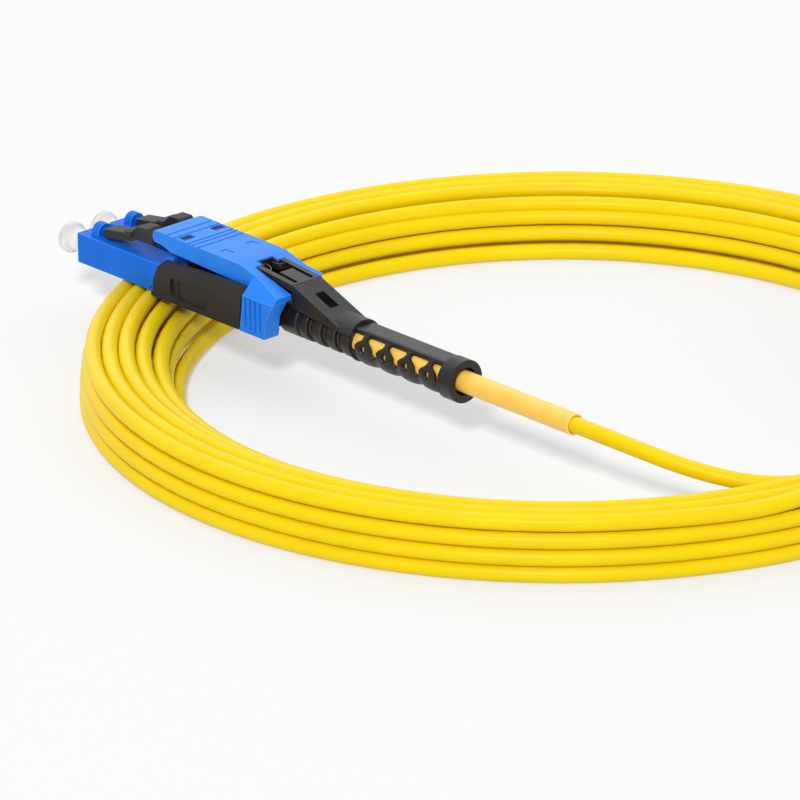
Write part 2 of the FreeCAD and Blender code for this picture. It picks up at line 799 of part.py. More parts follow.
def cable_start():
    """Front end of the cable's jacket, in the housing's tail."""
    return dim.housing_end - dim.housing_wall + dim.fit_gap


def cable_tail(label, place):
    """The cable inside the plug, from the housing's tail to the sleeve's end."""
    part = Piece(label, place)
    part.rod((cable_start(), dim.sleeve_end), dim.cable_diameter / 2, z=dim.boot_axis)


def boot(label, place):
    """The push-pull boot: a fork and wedge over the strain relief, a lattice tube and an end ring."""
    part = Piece(label, place)
    axis = dim.boot_axis
    radius = dim.boot_tube_radius
    room = dim.rib_radius + dim.slide_gap
    half = dim.fork_width / 2
    tip = dim.notch_start + dim.slide_gap
    bend = tip + dim.prong_length
    wedge_end = bend + dim.wedge_run
    thick = dim.prong_thickness
    hood_start = dim.boot_tube_start - dim.hood_length
    hood_end = dim.boot_tube_start + dim.hood_taper
    hood_radius = room + dim.hood_wall
    part.rod((hood_start, dim.boot_tube_start), hood_radius, z=axis)
    part.cone((dim.boot_tube_start, hood_end), hood_radius, radius - dim.hood_wall / 2, axis)
    beside = hood_radius + dim.hood_wall
    open_side = [
        (hood_start - dim.fit_gap, axis - beside),
        (hood_end + dim.fit_gap, axis - beside),
        (hood_end + dim.fit_gap, dim.wedge_end_low),
        (hood_start - dim.fit_gap, dim.wedge_low),
    ]
    part.prism("XZ_Plane", [open_side], -beside, beside, cut=True)
    part.rod((dim.boot_tube_start, dim.ring_start), radius - dim.waist_depth, z=axis)
    part.rod((dim.ring_start, dim.ring_end), dim.ring_radius, z=axis)
    lobe_half = (dim.lattice_spacing - dim.waist_width) / 2
    for index in range(LATTICE_COUNT - 1):
        eye = dim.lattice_first + dim.lattice_spacing * (index + 0.5)
        lobe_start = eye - lobe_half if index else dim.boot_tube_start
        part.rod((lobe_start, eye + lobe_half), radius, z=axis)
    wedge = [
        (bend, dim.wedge_low),
        (bend, dim.wedge_top),
        (wedge_end, dim.wedge_end_top),
        (wedge_end, dim.wedge_end_low),
    ]
    fork = [
        (tip, dim.prong_top - thick),
        (tip, dim.prong_top),
        (bend + dim.fit_gap, dim.wedge_top),
        (bend + dim.fit_gap, dim.wedge_top - thick),
    ]
    part.prism("XZ_Plane", [wedge], -half, half)
    part.prism("XZ_Plane", [fork], -half, half)
    gap_half = half - dim.prong_width
    slot_half = dim.wedge_slot_width / 2
    tongue_half = dim.tongue_width / 2
    tongue = tip + dim.fork_gap_depth
    root = tip + dim.fork_depth
    upper = [(tip - dim.fit_gap, gap_half), (root, gap_half), (root, tongue_half), (tongue, tongue_half)]
    fork_gap = [(x, -y) for x, y in upper] + upper[::-1]
    slot_start = bend + dim.wedge_slot_inset
    slot = rectangle((slot_start, slot_start + dim.wedge_slot_length), both(slot_half))
    part.prism("XY_Plane", [fork_gap, slot], axis, dim.prong_top + dim.fit_gap, cut=True)
    bore = radius - dim.boot_wall
    part.rod((bend - dim.fit_gap, dim.boot_tube_start), room, z=axis, cut=True)
    part.rod((dim.boot_tube_start, dim.ring_start), bore, z=axis, cut=True)
    part.rod((dim.ring_start - dim.fit_gap, dim.ring_end), dim.ring_bore_radius, z=axis, cut=True)
    lattice(part)


def lattice(part):
    """Funnel-shaped windows through both sides of the boot's tube, with eyes between them."""
    axis = dim.boot_axis
    front = dim.boot_tube_start + dim.boot_wall
    rear = dim.ring_start - dim.fit_gap
    top = axis + dim.lattice_top
    shoulder = top - dim.lattice_shoulder
    neck = axis + dim.lattice_neck
    low = axis + dim.lattice_low
    top_half = dim.lattice_top_width / 2
    shoulder_half = top_half * 0.9
    neck_half = top_half * 0.38
    low_half = dim.lattice_low_width / 2
    middles = [dim.lattice_first + dim.lattice_spacing * index for index in range(LATTICE_COUNT)]
    windows = []
    for middle in middles:
        windows.append(
            [
                (max_size(middle - top_half, front), top),
                (min_size(middle + top_half, rear), top),
                (min_size(middle + shoulder_half, rear), shoulder),
                (min_size(middle + neck_half, rear), neck),
                (middle + low_half, low),
                (max_size(middle - low_half, front), low),
                (max_size(middle - neck_half, front), neck),
                (max_size(middle - shoulder_half, front), shoulder),
            ]
        )
    width = dim.boot_tube_radius * 4
    part.prism("XZ_Plane", windows, -width / 2, width / 2, cut=True)
    eye_level = axis + dim.eye_rise
    eyes = [(middle + dim.lattice_spacing / 2, eye_level) for middle in middles[:-1]]
    part.cross_holes(eyes, dim.eye_radius, width)


def min_size(first, second):
    """The smaller of two sizes, as a sheet expression."""
    return Size(f"min({first.text}; {second.text})", min(first.value, second.value))


def max_size(first, second):
    """The larger of two sizes, as a sheet expression."""
    return Size(f"max({first.text}; {second.text})", max(first.value, second.value))


def coil():
    """The wound cable as one closed ring, with its inner wall leaning out towards the top."""
    part = Piece("cable_coil", FreeCAD.Placement())
    inner = dim.coil_inner_radius
    outer = dim.coil_outer_radius
    top = dim.coil_height
    edge = dim.coil_edge
    part.turn(
        [
            (inner, edge),
            (inner + edge, 0),
            (outer - edge, 0),
            (outer, edge),
            (outer, top - edge * 2),
            (outer - edge * 2, top),
            (inner + dim.coil_lean + edge, top),
            (inner + dim.coil_lean, top - edge),
        ]
    )


def rounded_path(points):
    """Straight runs joined by tangent arcs, each as large as its shorter run allows, as one wire."""
    edges = []
    radii = []
    start = points[0]
    for before, corner, after in zip(points, points[1:], points[2:]):
        back = before - corner
        ahead = after - corner
        half_turn = (math.pi - back.getAngle(ahead)) / 2
        reach = ARC_SHARE * min(back.Length, ahead.Length)
        radius = reach / math.tan(half_turn)
        back.normalize()
        ahead.normalize()
        enter = corner + back * reach
        leave = corner + ahead * reach
        inward = back + ahead
        inward.normalize()
        middle = corner + inward * (radius / math.cos(half_turn) - radius)
        edges.append(Part.LineSegment(start, enter).toShape())
        edges.append(Part.Arc(enter, middle, leave).toShape())
        radii.append(radius)
        start = leave
    edges.append(Part.LineSegment(start, points[-1]).toShape())
    return Part.Wire(edges), radii


def tube(label, points, radius, place):
    """A round cord or fibre along a route of points, checked against its section times its length."""
    path, radii = rounded_path(points)
    direction = points[1] - points[0]
    section = Part.Wire([Part.makeCircle(radius, points[0], direction)])
    solid = path.makePipeShell([section], True, False)
    expected = math.pi * radius**2 * path.Length
    if abs(solid.Volume - expected) > VOLUME_TOLERANCE * expected:
        raise RuntimeError(f"{label}: volume {solid.Volume:.2f}, expected {expected:.2f}")
    bends = ", ".join(f"{bend:.1f}" for bend in radii)
    print(f"{label}: length {path.Length:.1f} mm, bend radii {bends} mm")
    item = doc.addObject("Part::Feature", label)
    item.Label = label
    item.Shape = solid
    item.Placement = place
    pieces.append(item)


def fibre(label, place, side):
    """A buffered fibre from the flange's tail to the cable's jacket."""
    offset = dim.plug_pitch.value / 2 * side
    inset = (dim.fibre_radius.value + dim.fit_gap.value) * side
    level = dim.nose_axis.value
    low = dim.boot_axis.value
    flange_end = flange_start().value + dim.flange_length.value + dim.flange_tail_length.value
    start = flange_end - dim.flange_tail_length.value / 2
    end = cable_start().value
    turn_in = dim.nose_length.value + dim.housing_wall.value * 7
    turn_out = end - (end - turn_in) / 3
    points = [
        FreeCAD.Vector(start, offset, level),
        FreeCAD.Vector(turn_in, offset, level),
        FreeCAD.Vector(turn_out, inset, low),
        FreeCAD.Vector(end, inset, low),
    ]
    tube(label, points, dim.fibre_radius.value, place)


def plug(end, place):
    """All the pieces of one plug."""
    sides = (("left", -1), ("right", 1))
    for name, side in sides:
        shift = FreeCAD.Vector(0, dim.plug_pitch.value / 2 * side, 0)
        lane = place.multiply(FreeCAD.Placement(shift, FreeCAD.Rotation()))
        nose(f"{name}_nose_{end}", lane)
        ferrule(f"{name}_ferrule_{end}", lane)
        flange(f"{name}_flange_{end}", lane)
        spring(f"{name}_spring_{end}", lane)
        cap(f"{name}_cap_{end}", lane)
        latch(f"{name}_latch_{end}", lane)
        fibre(f"{name}_fibre_{end}", place, side)
    rear_housing(f"rear_housing_{end}", place)
    cover(f"cover_{end}", place)
    trigger(f"trigger_{end}", place)
    crimp_sleeve(f"crimp_sleeve_{end}", place)
    strain_relief(f"strain_relief_{end}", place)
    sleeve(f"sleeve_{end}", place)
    cable_tail(f"cable_tail_{end}", place)
    boot(f"boot_{end}", place)


def lead(end, place):
    """The free cable from a sleeve's end to the coil."""
    exit_end = dim.sleeve_end.value
    level = dim.boot_axis.value
    straight = [
        place.multVec(FreeCAD.Vector(exit_end, 0, level)),
        place.multVec(FreeCAD.Vector(exit_end + dim.lead_straight.value, 0, level)),
    ]
    points = straight + [FreeCAD.Vector(*point) for point in LEAD_POINTS[end]]
    tube(f"cable_lead_{end}", points, dim.cable_diameter.value / 2, FreeCAD.Placement())


def plug_places():
    """Both plugs lie level on the coil, with their boots over its open middle."""
    rest = (dim.coil_height + dim.rest_gap).value
    upright = FreeCAD.Vector(0, 0, 1)
    place_a = FreeCAD.Placement(
        FreeCAD.Vector(dim.plug_a_x.value, dim.plug_a_y.value, rest), FreeCAD.Rotation()
    )
    place_b = FreeCAD.Placement(
        FreeCAD.Vector(dim.plug_b_x.value, dim.plug_b_y.value, rest),
        FreeCAD.Rotation(upright, dim.plug_b_turn.value),
    )
    return {"a": place_a, "b": place_b}


def export():
    """Check every object, then write each piece to a file of its own."""
    doc.recompute()
    for item in doc.Objects:
        if "Invalid" in item.State or "Error" in item.State:
            raise RuntimeError(f"{item.Label}: {item.State}")
    for piece in pieces:
        shape = piece.Shape
        if shape.isNull() or not shape.isValid() or len(shape.Solids) != 1:
            raise RuntimeError(f"{piece.Label}: not one valid solid")
    os.makedirs("parts", exist_ok=True)
    for piece in pieces:
        piece.Shape.exportStep(f"parts/{piece.Label}.step")
    print(f"{len(pieces)} pieces written")


coil()
for plug_end, plug_place in plug_places().items():
    plug(plug_end, plug_place)
    lead(plug_end, plug_place)
export()
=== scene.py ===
# %% [markdown]
# # A coiled fibre patch cord
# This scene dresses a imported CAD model: a flat coil of yellow cable with a push-pull plug on each of its two
# ends, both lying on the coil. Every object is in metres, in the CAD model's own frame, so no piece has to
# be fitted by eye.

import json
import math

import bmesh
import bpy
from mathutils import Matrix, Vector


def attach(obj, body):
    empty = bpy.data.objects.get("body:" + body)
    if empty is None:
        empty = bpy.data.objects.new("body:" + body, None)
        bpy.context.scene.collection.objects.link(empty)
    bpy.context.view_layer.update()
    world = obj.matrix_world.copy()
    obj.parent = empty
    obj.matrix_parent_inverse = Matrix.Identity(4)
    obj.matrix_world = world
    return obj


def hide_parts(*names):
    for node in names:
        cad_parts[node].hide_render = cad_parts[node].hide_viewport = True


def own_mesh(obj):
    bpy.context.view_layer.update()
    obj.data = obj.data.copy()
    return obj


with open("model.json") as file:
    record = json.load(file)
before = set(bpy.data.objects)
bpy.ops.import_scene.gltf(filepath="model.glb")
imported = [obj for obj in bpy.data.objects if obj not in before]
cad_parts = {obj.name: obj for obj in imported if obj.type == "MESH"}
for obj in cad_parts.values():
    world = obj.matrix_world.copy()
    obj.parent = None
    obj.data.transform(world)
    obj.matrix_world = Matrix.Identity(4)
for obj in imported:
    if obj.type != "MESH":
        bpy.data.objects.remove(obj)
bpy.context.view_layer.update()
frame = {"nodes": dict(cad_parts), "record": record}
nodes = frame["nodes"]
body_of_node = {}
for body_name, members in frame["record"]["behaviour"]["bodies"].items():
    for member in members:
        body_of_node[member] = body_name
slot_of_node = {part["node"]: part["material_slot"] for part in frame["record"]["subparts"]}
MM = 0.001
print("CAD nodes:", len(nodes))

# %% [markdown]
# ## Camera
# The picture was taken from far away with a long lens. The camera circles the coil's centre at a known
# azimuth and elevation, and looks a little to the left of that centre, so the coil runs out of the frame.
# A Track To constraint could aim it, but it would roll the picture slightly, so the three axes are set.

# %% Aim the camera
AZIMUTH = math.radians(46.3)
ELEVATION = math.radians(21.88)
DISTANCE = 1.155
LENS = 358.6
SENSOR_WIDTH = 36
AIM_LEFT = 0.0234
AIM_DOWN = 0.0006

skyward = Vector((0, 0, 1))
right = Vector((math.cos(AZIMUTH), math.sin(AZIMUTH), 0))
away = Vector((-math.sin(AZIMUTH), math.cos(AZIMUTH), 0))
forward = away * math.cos(ELEVATION) - skyward * math.sin(ELEVATION)
upward = away * math.sin(ELEVATION) + skyward * math.cos(ELEVATION)
camera_data = bpy.data.cameras.new("camera")
camera_data.lens = LENS
camera_data.sensor_width = SENSOR_WIDTH
camera = bpy.data.objects.new("camera", camera_data)
bpy.context.scene.collection.objects.link(camera)
camera.location = -DISTANCE * forward
target = -right * AIM_LEFT - upward * AIM_DOWN
line_of_sight = (target - camera.location).normalized()
across = (right - line_of_sight * right.dot(line_of_sight)).normalized()
upright = across.cross(line_of_sight)
camera.rotation_euler = Matrix((across, upright, -line_of_sight)).transposed().to_euler()
bpy.context.scene.camera = camera
print("camera at", [round(v, 3) for v in camera.location])

# %% [markdown]
# ## Finishes
# Everything here is plastic, apart from the ceramic pins and a few steel pieces inside. A flat colour would
# look like a toy, so a broad noise lets each colour and its gloss drift between two tones, and a fine noise
# roughens the surface. Moulded edges get a painted highlight, a paler tone in place of the light they catch:
# the bevelled faces made further down carry an attribute, and the same recipe mixes the paler tone in where
# that attribute is set.

# %% The recipe for a moulded finish
# Bevelled faces are marked with this attribute, and the finishes paint a highlight on them in a paler tone.
PAINTED_EDGE_HIGHLIGHT = "painted_edge_highlight"
DRIFT_DETAIL = 3
# The noise values between which the tone changes, and the shares of the usual roughness that it reaches.
TONE_SPAN = (0.3, 0.7)
GLOSS_SPAN = (0.85, 1.2)
GRAIN_DEPTH = 0.00005


def linear(red, green, blue):
    """A screen colour, from 0 to 255, as the linear colour that shaders use."""
    channels = []
    for value in (red, green, blue):
        share = value / 255
        channels.append(share / 12.92 if share <= 0.04045 else ((share + 0.055) / 1.055) ** 2.4)
    return (*channels, 1.0)


def moulded(name, dark, light, edge, rough, patch, grain, bump):
    """A finish that drifts between two tones, with a painted highlight on bevelled edges and a fine grain."""
    material = bpy.data.materials.new(name)
    material.use_nodes = True
    tree = material.node_tree
    shader = tree.nodes["Principled BSDF"]
    place = tree.nodes.new("ShaderNodeTexCoord")
    drift = tree.nodes.new("ShaderNodeTexNoise")
    drift.inputs["Scale"].default_value = patch
    drift.inputs["Detail"].default_value = DRIFT_DETAIL
    tree.links.new(place.outputs["Object"], drift.inputs["Vector"])
    tone = tree.nodes.new("ShaderNodeValToRGB")
    for stop, position, colour in zip(tone.color_ramp.elements, TONE_SPAN, (dark, light)):
        stop.position = position
        stop.color = linear(*colour)
    tree.links.new(drift.outputs["Fac"], tone.inputs["Fac"])
    # A paler tone is mixed in on the marked bevelled faces: a painted highlight along the edges.
    edge_highlight_mask = tree.nodes.new("ShaderNodeAttribute")
    edge_highlight_mask.attribute_name = PAINTED_EDGE_HIGHLIGHT
    edge_highlighted = tree.nodes.new("ShaderNodeMixRGB")
    edge_highlighted.inputs["Color2"].default_value = linear(*edge)
    tree.links.new(edge_highlight_mask.outputs["Fac"], edge_highlighted.inputs["Fac"])
    tree.links.new(tone.outputs["Color"], edge_highlighted.inputs["Color1"])
    tree.links.new(edge_highlighted.outputs["Color"], shader.inputs["Base Color"])
    gloss = tree.nodes.new("ShaderNodeMapRange")
    gloss.inputs["To Min"].default_value = rough * GLOSS_SPAN[0]
    gloss.inputs["To Max"].default_value = rough * GLOSS_SPAN[1]
    tree.links.new(drift.outputs["Fac"], gloss.inputs["Value"])
    tree.links.new(gloss.outputs["Result"], shader.inputs["Roughness"])
    fine = tree.nodes.new("ShaderNodeTexNoise")
    fine.inputs["Scale"].default_value = grain
    tree.links.new(place.outputs["Object"], fine.inputs["Vector"])
    relief = tree.nodes.new("ShaderNodeBump")
    relief.inputs["Strength"].default_value = bump
    relief.inputs["Distance"].default_value = GRAIN_DEPTH
    tree.links.new(fine.outputs["Fac"], relief.inputs["Height"])
    tree.links.new(relief.outputs["Normal"], shader.inputs["Normal"])
    return material


def set_values(material, values):
    """Set plain values on the sockets of a material's Principled shader."""
    shader = material.node_tree.nodes["Principled BSDF"]
    for socket, value in values.items():
        shader.inputs[socket].default_value = value


print("a screen's middle grey is", round(linear(128, 128, 128)[0], 3), "in linear light")

# %% [markdown]
# The colours are screen colours: the darker tone, the usual tone and the paler tone of the painted edge
# highlight.
# The cable's jacket is a strong yellow, the sleeve a paler amber under a thin gloss, the shells a saturated
# blue that is painted deeper on the noses as shade, the covers a near-black. The caps are soft milky plastic,
# so some of the light goes through them. Patch and grain are the scales of the broad and the fine noise, and
# bump is the fine one's strength.
# What is the same all over a surface is set on the shader itself, so that an export keeps it.

# %% One finish for each material slot, and a second blue with painted shade for the noses
# The edge tone is a painted highlight on bevelled edges; dark and light are the random drift.
RECIPES = {
    "cable_jacket": dict(
        dark=(229, 197, 2), light=(236, 205, 4), edge=(236, 205, 4),
        rough=0.36, patch=60, grain=2500, bump=0.15,
    ),
    "amber_sleeve": dict(
        dark=(238, 190, 70), light=(246, 202, 88), edge=(250, 214, 120),
        rough=0.4, patch=300, grain=3000, bump=0.1,
    ),
    "blue_shell": dict(
        dark=(20, 120, 234), light=(28, 128, 242), edge=(56, 148, 250),
        rough=0.4, patch=220, grain=6000, bump=0.25,
    ),
    # The noses' blue is the shells' blue painted darker, as painted shade.
    "nose_blue": dict(
        dark=(10, 98, 204), light=(16, 104, 212), edge=(44, 130, 236),
        rough=0.42, patch=220, grain=6000, bump=0.25,
    ),
    "dark_shell": dict(
        dark=(40, 39, 43), light=(46, 45, 49), edge=(62, 60, 62),
        rough=0.5, patch=260, grain=5000, bump=0.3,
    ),
    "boot_rubber": dict(
        dark=(26, 23, 23), light=(34, 31, 31), edge=(52, 49, 48),
        rough=0.42, patch=260, grain=4500, bump=0.3,
    ),
    "cap_plastic": dict(
        dark=(244, 244, 245), light=(250, 250, 251), edge=(252, 252, 252),
        rough=0.3, patch=300, grain=3000, bump=0.1,
    ),
    "ferrule_ceramic": dict(
        dark=(236, 233, 226), light=(246, 244, 238), edge=(250, 249, 246),
        rough=0.2, patch=300, grain=3000, bump=0.05,
    ),
    "steel": dict(
        dark=(150, 150, 152), light=(176, 176, 178), edge=(196, 196, 198),
        rough=0.3, patch=400, grain=4000, bump=0.2,
    ),
    "fibre_buffer": dict(
        dark=(222, 214, 196), light=(236, 229, 214), edge=(240, 234, 222),
        rough=0.45, patch=300, grain=3000, bump=0.1,
    ),
}
PLAIN_VALUES = {
    "cable_jacket": {"Specular IOR Level": 0.15},
    "amber_sleeve": {"Coat Weight": 0.2},
    "blue_shell": {"Specular IOR Level": 0.25},
    "nose_blue": {"Specular IOR Level": 0.12},
    "dark_shell": {"Specular IOR Level": 0.2},
    "boot_rubber": {"Specular IOR Level": 0.4},
    "cap_plastic": {"Transmission Weight": 0.6, "IOR": 1.25},
    "steel": {"Metallic": 1.0},
}
FINISHES = {}
for name, recipe in RECIPES.items():
    FINISHES[name] = moulded(name, **recipe)
    set_values(FINISHES[name], PLAIN_VALUES.get(name, {}))
for name, node in nodes.items():
    node.data.materials.clear()
    node.data.materials.append(FINISHES[slot_of_node[name]])
print("finishes:", len(FINISHES))

# %% [markdown]
# ## The cable
# The free cable is one NURBS curve: out of plug a's sleeve, round the coil, and into plug b's sleeve.
# A turn's control points lie a little outside its radius, because the curve passes inside its points.
# Every turn keeps its own radius and height where the camera sees it, and changes over to the next one
# on the coil's right, which the picture cuts off.

# %% Wind the coil
POINTS_PER_TURN = 16
# Radius and height of each turn, in millimetres, in the order in which the cable passes through them.
TURNS = (
    (60.5, 7.4), (58.0, 6.0), (57.3, 3.6), (55.7, 1.2), (59.0, 1.2),
    (62.2, 1.2), (62.1, 3.6), (62.0, 6.0), (62.9, 8.4),
    (65.3, 8.4), (65.2, 6.0), (65.3, 3.6), (65.4, 1.2),
    (68.6, 1.2), (68.5, 3.6), (68.2, 6.0), (67.7, 8.4),
)
ENTRY = (61.3, 7.3)
LEAD_A = ((30.4, -26.4, 11.8), (39.4, -26.4, 11.8), (49.6, -21.9, 9.2), (57.6, -15.7, 7.5))
LEAD_B = ((65.9, -15.2, 8.5), (67.7, -4.0, 10.4), (65.4, 3.6, 11.8), (59.0, 10.0, 11.8))
# Angles are in degrees and count every turn.
FULL_TURN = 360
CHANGE_START = -10.7
CHANGE_SPAN = 114.0
FIRST_ANGLE = -5.3
SHORT_OF_FULL = 24
LAST_ANGLE = FULL_TURN * len(TURNS) - SHORT_OF_FULL
# Where the first turn is at the back, it leans in and up a little.
REAR_ANGLE = 136
REAR_IN = 1.7
REAR_UP = 0.3


def smooth_step(share):
    """A share from 0 to 1 that starts and ends gently."""
    return share * share * (3 - 2 * share)


def turn_place(angle):
    """Radius and height of the cable at an angle that counts every turn."""
    passed = (angle - CHANGE_START) / FULL_TURN
    index = int(passed)
    changed = smooth_step(min(1.0, (passed - index) * FULL_TURN / CHANGE_SPAN))
    before = TURNS[index - 1] if index else ENTRY
    after = TURNS[index]
    radius = before[0] + (after[0] - before[0]) * changed
    height = before[1] + (after[1] - before[1]) * changed
    if index == 0:
        rear = max(0.0, math.cos(math.radians(angle - REAR_ANGLE))) ** 2 * changed
        radius -= REAR_IN * rear
        height += REAR_UP * rear
    return radius, height


points = list(LEAD_A)
# Where it passes a control point, a curve of order 3 is six eighths of it and an eighth of each neighbour.
swell = 8 / (6 + 2 * math.cos(2 * math.pi / POINTS_PER_TURN))
steps = round((LAST_ANGLE - FIRST_ANGLE) / FULL_TURN * POINTS_PER_TURN)
for step in range(steps + 1):
    angle = FIRST_ANGLE + (LAST_ANGLE - FIRST_ANGLE) * step / steps
    radius, height = turn_place(angle)
    turned = math.radians(angle)
    points.append((radius * swell * math.cos(turned), radius * swell * math.sin(turned), height))
points += LEAD_B
print("cable points:", len(points))

# %% [markdown]
# A mesh tube would need its own rings along the route. A curve with a round bevel stays one smooth line,
# and its length can be measured, so the cable is left as a curve.

# %% Lay the cable along its points
CABLE_RADIUS = 1.2
STEPS_PER_POINT = 6
BEVEL_STEPS = 5

curve = bpy.data.curves.new("cable", "CURVE")
curve.dimensions = "3D"
spline = curve.splines.new("NURBS")
spline.points.add(len(points) - 1)
for point, (x, y, z) in zip(spline.points, points):
    point.co = (x * MM, y * MM, z * MM, 1)
spline.order_u = 3
spline.use_endpoint_u = True
curve.resolution_u = STEPS_PER_POINT
curve.render_resolution_u = STEPS_PER_POINT
curve.bevel_depth = CABLE_RADIUS * MM
curve.bevel_resolution = BEVEL_STEPS
curve.materials.append(FINISHES["cable_jacket"])
cable = bpy.data.objects.new("cable", curve)
bpy.context.scene.collection.objects.link(cable)
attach(cable, "cord")
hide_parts("cable_coil", "cable_lead_a", "cable_lead_b")
print("turns:", len(TURNS))

# %% [markdown]
# ## Moulded pieces
# A CAD solid has perfectly sharp edges, and nothing moulded does. The visible solids, apart from the caps,
# are copied, and the copies' edges are rounded. Both plugs are alike, so the sizes of their pieces are given
# once, in millimetres and in a plug's own frame, and a matrix for each plug brings them into the scene.

# %% Place a plug's pieces
# Each plug's place in millimetres, and its turn in degrees.
PLUG_PLACES = {"a": ((-70.3, -26.4, 9.8), 0.0), "b": ((-12.2, 81.2, 9.8), -45.0)}
SHADE_ANGLE = math.radians(40)


def plug_matrix(end):
    """The matrix from a plug's own frame, in millimetres, to the scene."""
    place, turn = PLUG_PLACES[end]
    turned = Matrix.Rotation(math.radians(turn), 4, "Z")
    return Matrix.Translation(Vector(place) * MM) @ turned @ Matrix.Scale(MM, 4)


def placed(name, mesh, body, slot, *replaced, finish=None):
    """A finished mesh as a piece that rides on a body and stands for CAD nodes."""
    for polygon in mesh.polygons:
        polygon.use_smooth = True
    mesh.set_sharp_from_angle(angle=SHADE_ANGLE)
    mesh.materials.clear()
    mesh.materials.append(FINISHES[finish or slot])
    piece = bpy.data.objects.new(name, mesh)
    bpy.context.scene.collection.objects.link(piece)
    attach(piece, body)
    if replaced:
        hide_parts(*replaced)
    weighing = piece.modifiers.new("flat_faces_stay_flat", "WEIGHTED_NORMAL")
    weighing.keep_sharp = True
    return piece


print("plugs:", *PLUG_PLACES)

# %% [markdown]
# A Bevel modifier would treat all sharp edges alike, and the smallest groove would hold back its width. The
# bevel operator takes a list of edges instead. So wide faces meet in a broad round first, and the edges that
# are still sharp then get a fine one.

# %% Bevel edges
SHARP_ANGLE = math.radians(28)
# A face is wide enough for a bevel if on average it reaches this many bevel widths from the edge.
WIDE_REACH = 4


def sharp_edges(shape):
    """The edges where two faces of a mesh meet at a marked angle."""
    return [e for e in shape.edges if len(e.link_faces) == 2 and e.calc_face_angle() > SHARP_ANGLE]


def broad(edge, width):
    """Whether both faces at an edge reach well past a bevel of this width."""
    return all(face.calc_area() > WIDE_REACH * width * edge.calc_length() for face in edge.link_faces)


def rounded(shape, edges, width, segments, layer):
    """Bevel edges by a width, in the mesh's own unit, and mark the new faces for the painted edge highlight.
    """
    made = bmesh.ops.bevel(
        shape, geom=edges, offset=width, offset_type="OFFSET", segments=segments,
        profile=0.5, affect="EDGES", clamp_overlap=True, material=-1,
    )
    # The new faces are marked for the painted edge highlight.
    for face in made["faces"]:
        face[layer] = 1.0


print("edges over", round(math.degrees(SHARP_ANGLE)), "degrees are bevelled")

# %% [markdown]
# Three of each plug's copies are changed a little before they are bevelled: the boot, the cover and the
# trigger. A Boolean modifier could cut them, but it often leaves thin slivers that spoil a bevel. Slicing the
# faces along a plane, deleting those on one side and filling the rim leaves only the faces that are needed.

# %% Cut a copy
# How near a point is to a plane to lie on it, in metres.
ON_PLANE = 1e-8
# How near two places are to count as the same, in a plug's millimetres.
CLOSE = 0.01


def sliced(shape, end, place, normal, geometry=None):
    """Cut a shape's faces, or some of its geometry, along a plane in the plug's own frame."""
    matrix = plug_matrix(end)
    bmesh.ops.bisect_plane(
        shape, geom=geometry or shape.verts[:] + shape.edges[:] + shape.faces[:], dist=ON_PLANE,
        plane_co=matrix @ Vector(place), plane_no=(matrix.to_3x3() @ Vector(normal)).normalized(),
    )


def cleared(shape, end, unwanted):
    """Delete the faces whose middles a test picks out, and return the open edges that this leaves."""
    inverse = plug_matrix(end).inverted()
    gone = [f for f in shape.faces if unwanted(inverse @ f.calc_center_median())]
    bmesh.ops.delete(shape, geom=gone, context="FACES")
    return [e for e in shape.edges if e.is_boundary]


print("a rim belongs to a cut within", CLOSE, "mm")

# %% [markdown]
# The boot loses its tube, which is made again as a lattice further down. The cover's shallow recesses are
# deepened, and its top edge is lowered, so that a dark gap opens under the trigger as on the real plug.

# %% Reshape the boot and the cover
TUBE_CUTS = (57.0, 75.65)
COVER_HALF = 6.5
# The depth of each recess in the cover's side, and how much deeper it is made.
RECESSES = ((0.4, 0.25), (0.12, 0.15))
RECESS_HEIGHTS = (0.5, 4.5)
# A point on the cover's lowered top edge, along and up, and how that edge rises to the rear.
BAND_FRONT = (19.0, 5.75)
BAND_SLOPE = 0.045


def tube_removed(shape, end):
    """Take the boot's tube out between the hood and the end ring, where the lattice goes."""
    inverse = plug_matrix(end).inverted()
    for cut in TUBE_CUTS:
        sliced(shape, end, (cut, 0, 0), (1, 0, 0))
    rims = cleared(shape, end, lambda spot: TUBE_CUTS[0] < spot.x < TUBE_CUTS[1])
    for cut in TUBE_CUTS:
        rim = [e for e in rims if abs((inverse @ e.verts[0].co).x - cut) < CLOSE]
        bmesh.ops.triangle_fill(shape, use_beauty=True, edges=rim)


def cover_trimmed(shape, end):
    """Deepen the cover's recesses, and lower its top edge so that a dark gap opens under the trigger."""
    matrix = plug_matrix(end)
    inverse = matrix.inverted()
    low, high = RECESS_HEIGHTS
    for depth, deeper in RECESSES:
        for face in shape.faces:
            middle = inverse @ face.calc_center_median()
            if abs(abs(middle.y) - COVER_HALF + depth) < CLOSE and low < middle.z < high:
                inward = Vector((0, -math.copysign(deeper, middle.y), 0))
                bmesh.ops.translate(shape, vec=matrix.to_3x3() @ inward, verts=face.verts)
    along, up = BAND_FRONT
    sliced(shape, end, (along, 0, up), (-BAND_SLOPE, 0, 1))
    rims = cleared(shape, end, lambda spot: spot.z > up + BAND_SLOPE * (spot.x - along))
    bmesh.ops.triangle_fill(shape, use_beauty=True, edges=rims)


print("the boot's tube is taken out over", round(TUBE_CUTS[1] - TUBE_CUTS[0], 2), "mm")

# %% [markdown]
# The trigger's grip collar has a thin floor that would show as a lip behind the collar's foot. Cutting it off
# would open the collar, so the floor's rear is split along the flanks and its corners are drawn forward.

# %% Reshape the trigger
# The collar's floor behind FOOT_REAR, below FOOT_TOP and between the flanks' inner faces is drawn forward.
FOOT_REAR = 42.3
FOOT_TOP = 0.9
FLANK_INNER = 3.85
FLANK_MARGIN = 0.1
FOOT_DRAW = 0.8


